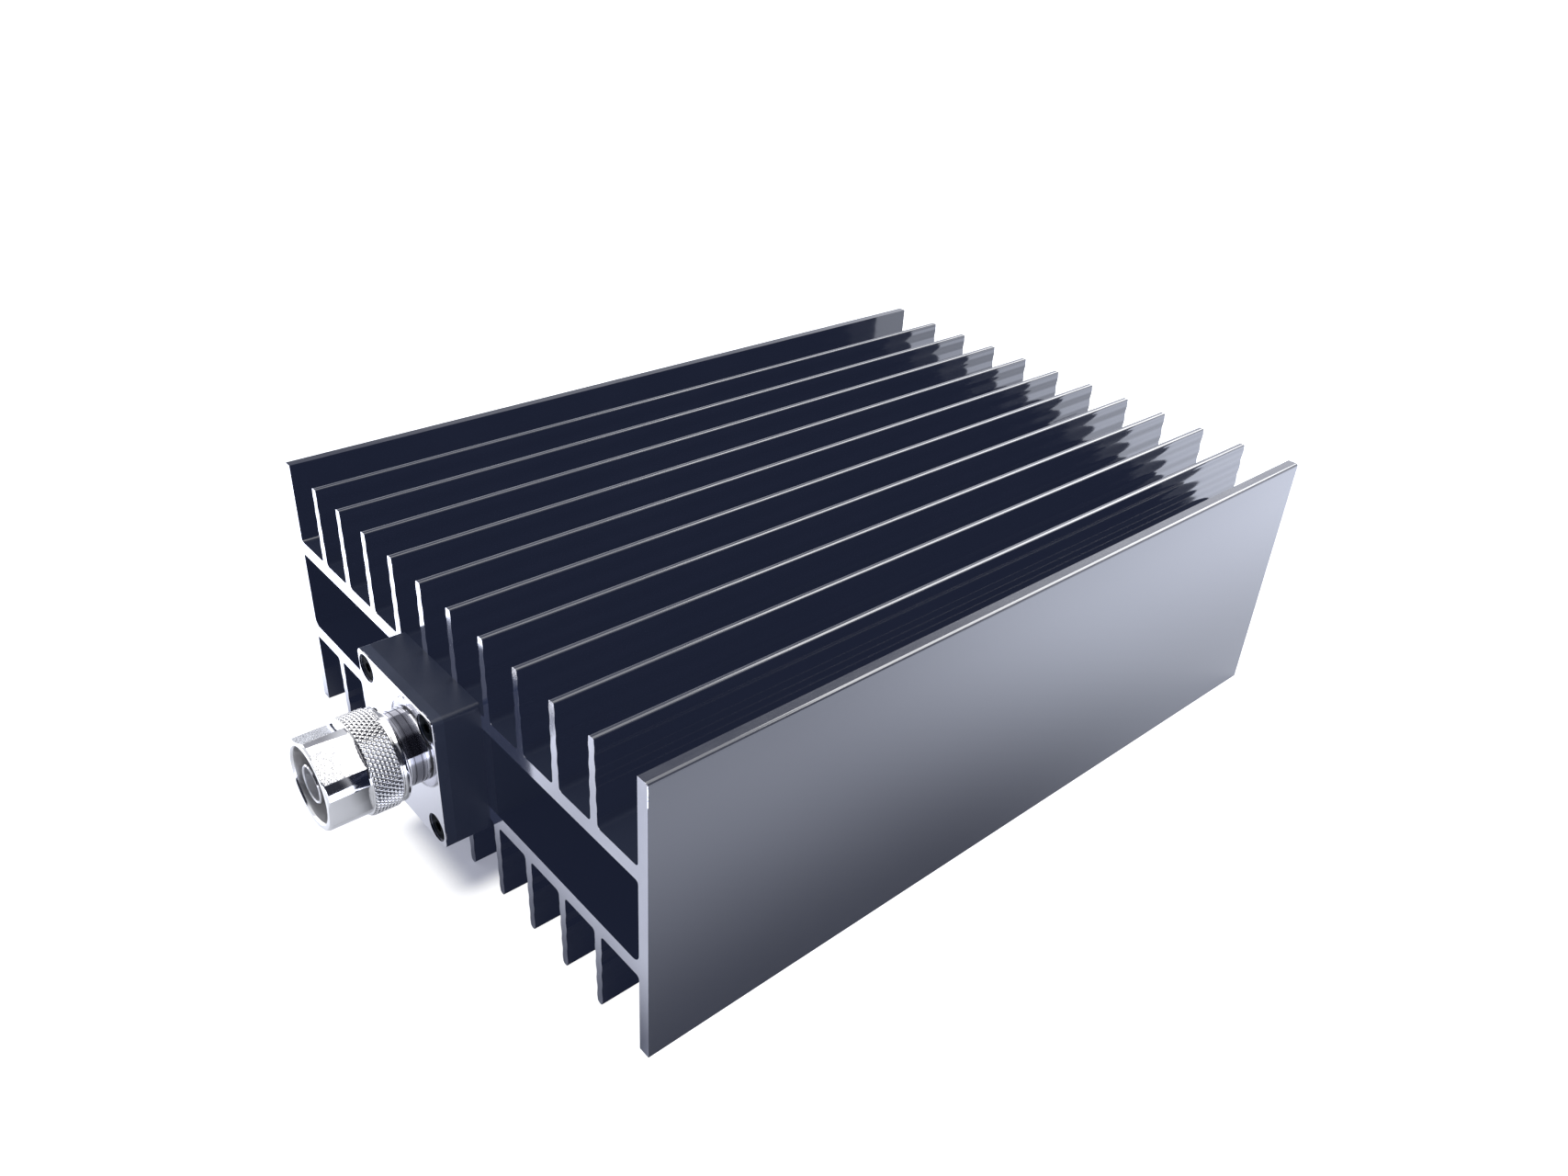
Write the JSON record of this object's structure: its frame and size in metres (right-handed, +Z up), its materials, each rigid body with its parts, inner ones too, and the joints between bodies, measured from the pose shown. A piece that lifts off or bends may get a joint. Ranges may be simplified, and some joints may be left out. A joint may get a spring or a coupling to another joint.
{
  "type": "coaxial attenuator",
  "caption": "High power coaxial attenuator: black finned extrusion with a through tunnel, square end blocks, a screw-on plug at one end and a threaded jack at the other.",
  "frame": {"origin": "middle of the overall width and length, on the surface that the walls and lower fins stand on", "axes": "+Z up, +Y along the coaxial line from the plug to the jack, +X across the fins"},
  "size_m": [0.14, 0.2532, 0.065],
  "materials": {
    "anodised_black": "satin black anodised",
    "nickel_plate": "bright nickel plated",
    "spring_bronze": "plain",
    "silver_plate": "silver plated",
    "white_polymer": "smooth",
    "seal_rubber": "matte",
    "black_steel": "black oxide",
    "plain_steel": "zinc plated",
    "board_laminate": "matte",
    "copper_strip": "tinned edge copper",
    "chip_ceramic": "fine ground"
  },
  "bodies": {
    "body": {"heatsink": "anodised_black", "front_end_block": "anodised_black", "rear_end_block": "anodised_black", "front_face_plate": "anodised_black", "rear_face_plate": "anodised_black", "front_plate_screws": "black_steel", "rear_plate_screws": "black_steel", "front_block_screws": "black_steel", "rear_block_screws": "black_steel", "housing_body": "anodised_black", "housing_cover": "anodised_black", "cover_screws": "plain_steel", "housing_screws": "black_steel", "front_line_board": "board_laminate", "rear_line_board": "board_laminate", "front_line_strip": "copper_strip", "rear_line_strip": "copper_strip", "element_flange": "nickel_plate", "element_chip": "chip_ceramic", "element_cap": "chip_ceramic", "element_leads": "copper_strip", "element_screws": "plain_steel", "plug_body": "nickel_plate", "plug_seal": "seal_rubber", "plug_insulator": "white_polymer", "plug_centre_pin": "silver_plate", "plug_retaining_ring": "spring_bronze", "jack_body": "nickel_plate", "jack_insulator": "white_polymer", "jack_contact": "silver_plate"},
    "coupling_nut": {"coupling_nut": "nickel_plate"}
  },
  "joints": [
    {"name": "coupling_nut_spin", "type": "hinge", "parent": "body", "child": "coupling_nut", "pos_m": [0, -0.119, 0.0323], "axis": [0, -1, 0], "continuous": true}
  ]
}
